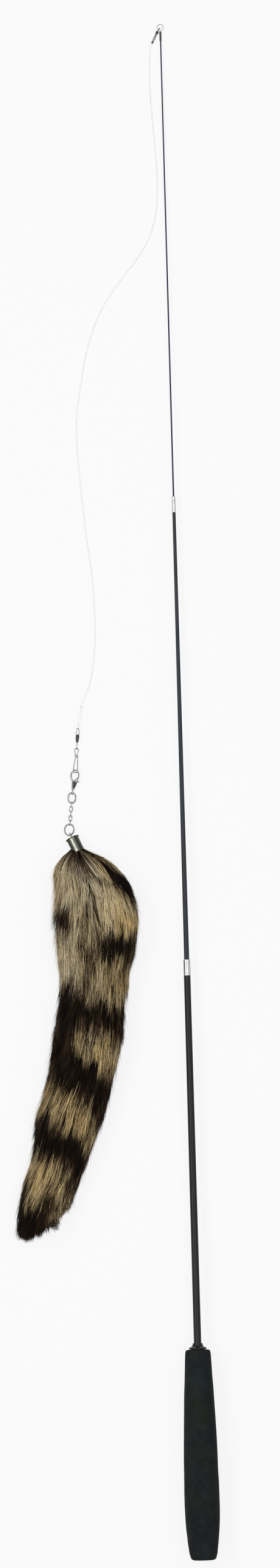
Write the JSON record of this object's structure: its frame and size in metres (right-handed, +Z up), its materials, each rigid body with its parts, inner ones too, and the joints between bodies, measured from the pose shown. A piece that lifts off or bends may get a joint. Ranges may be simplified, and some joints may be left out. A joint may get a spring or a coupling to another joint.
{
  "type": "telescopic cat teaser wand",
  "caption": "Telescopic cat wand with a foam grip and a line to a swivel, snap and clasp that carry a fur tail on a short chain.",
  "frame": {"origin": "on the surface the toy lies on, below the middle of the box around its solid pieces", "axes": "+Y along the wand from its butt to its tip, +Z up from the surface, +X to the right of the wand seen from above"},
  "size_m": [0.123, 0.9878, 0.0292],
  "materials": {
    "foam": "matte closed-cell foam",
    "rubber": "matt",
    "gloss_black": "gloss black",
    "slate_coat": "gloss dark slate",
    "navy_coat": "satin dark blue grey",
    "collar_black": "gloss black",
    "bare_steel": "bright bare metal",
    "brass": "plain",
    "nickel": "bright nickel",
    "dark_steel": "darkened steel",
    "gunmetal": "pewter grey",
    "clear_line": "clear nylon",
    "dark_sleeve": "dark",
    "hide": "tanned hide",
    "fur": "ringed brown and tan fur"
  },
  "bodies": {
    "handle": {"foam_grip": "foam", "grip_collar": "collar_black", "butt_plug": "rubber", "base_tube": "gloss_black", "base_ferrule": "bare_steel"},
    "middle_section": {"mid_tube": "slate_coat", "mid_bush": "brass", "mid_ferrule": "bare_steel"},
    "tip_section": {"tip_rod": "navy_coat", "tip_bush": "brass", "tip_sleeve": "dark_steel", "tip_eye": "nickel", "line_loop": "clear_line", "hitch_sleeve": "dark_sleeve", "loop_crimp": "clear_line", "line": "clear_line", "line_knot": "clear_line", "lower_loop": "clear_line", "swivel_top_eye": "nickel"},
    "barrel": {"swivel_barrel": "dark_steel"},
    "lower_eye": {"swivel_lower_eye": "nickel"},
    "wire_snap": {"snap": "nickel"},
    "clasp": {"clasp_body": "nickel", "clasp_pin": "bare_steel", "clasp_spring": "bare_steel"},
    "gate": {"clasp_gate": "nickel"},
    "upper_ring": {"jump_ring_upper": "nickel"},
    "link_1": {"chain_link_1": "nickel"},
    "link_2": {"chain_link_2": "nickel"},
    "link_3": {"chain_link_3": "nickel"},
    "link_4": {"chain_link_4": "nickel"},
    "link_5": {"chain_link_5": "nickel"},
    "lower_ring": {"jump_ring_lower": "nickel"},
    "lure": {"cap_eye": "nickel", "end_cap": "gunmetal", "tail_core": "hide", "tail_fur": "fur"}
  },
  "joints": [
    {"name": "mid_slide", "type": "slide", "parent": "handle", "child": "middle_section", "axis": [0, 0.9999, -0.0107], "range_m": [-0.285, 0]},
    {"name": "tip_slide", "type": "slide", "parent": "middle_section", "child": "tip_section", "axis": [0, 0.9999, -0.0107], "range_m": [-0.291, 0]},
    {"name": "barrel_spin", "type": "hinge", "parent": "tip_section", "child": "barrel", "pos_m": [-0.01588, 0.0385, 0.00164], "axis": [0.0941, 0.9956, 0], "continuous": true},
    {"name": "lower_eye_spin", "type": "hinge", "parent": "barrel", "child": "lower_eye", "pos_m": [-0.01636, 0.03343, 0.00164], "axis": [0.0941, 0.9956, 0], "continuous": true},
    {"name": "snap_hinge", "type": "hinge", "parent": "lower_eye", "child": "wire_snap", "pos_m": [-0.01677, 0.0291, 0.00164], "axis": [0, 0, 1], "range_deg": [-45, 9]},
    {"name": "clasp_hinge", "type": "hinge", "parent": "wire_snap", "child": "clasp", "pos_m": [-0.01802, 0.01423, 0.00164], "axis": [0.7405, -0.0622, -0.6691], "range_deg": [-30, 30]},
    {"name": "gate_hinge", "type": "hinge", "parent": "clasp", "child": "gate", "pos_m": [-0.01729, 0.00931, 0.00164], "axis": [0, 0, 1], "range_deg": [0, 25], "stiffness_Nm_per_rad": 0.005},
    {"name": "upper_ring_hinge", "type": "hinge", "parent": "clasp", "child": "upper_ring", "pos_m": [-0.02049, 0.00022, 0.00164], "axis": [0, 0, -1], "range_deg": [-10, 50]},
    {"name": "link_1_hinge", "type": "hinge", "parent": "upper_ring", "child": "link_1", "pos_m": [-0.02098, -0.00544, 0.00164], "axis": [-0.9962, 0.0872, 0], "range_deg": [-50, 50]},
    {"name": "link_2_hinge", "type": "hinge", "parent": "link_1", "child": "link_2", "pos_m": [-0.02128, -0.00818, 0.00164], "axis": [0, 0, 1], "range_deg": [-50, 10]},
    {"name": "link_3_hinge", "type": "hinge", "parent": "link_2", "child": "link_3", "pos_m": [-0.02161, -0.01112, 0.00164], "axis": [0.994, -0.1097, 0], "range_deg": [-50, 50]},
    {"name": "link_4_hinge", "type": "hinge", "parent": "link_3", "child": "link_4", "pos_m": [-0.02193, -0.01406, 0.00185], "axis": [-0.0077, -0.0693, -0.9976], "range_deg": [-11, 50]},
    {"name": "link_5_hinge", "type": "hinge", "parent": "link_4", "child": "link_5", "pos_m": [-0.02226, -0.01699, 0.00205], "axis": [-0.994, 0.1097, 0], "range_deg": [-45, 45]},
    {"name": "lower_ring_hinge", "type": "hinge", "parent": "link_5", "child": "lower_ring", "pos_m": [-0.02258, -0.01987, 0.00267], "axis": [0.0228, 0.2067, 0.9781], "range_deg": [-50, 11]},
    {"name": "cap_hinge", "type": "hinge", "parent": "lower_ring", "child": "lure", "pos_m": [-0.02213, -0.02578, 0.00391], "axis": [0.9166, 0.3864, -0.103], "range_deg": [-45, 45]}
  ]
}
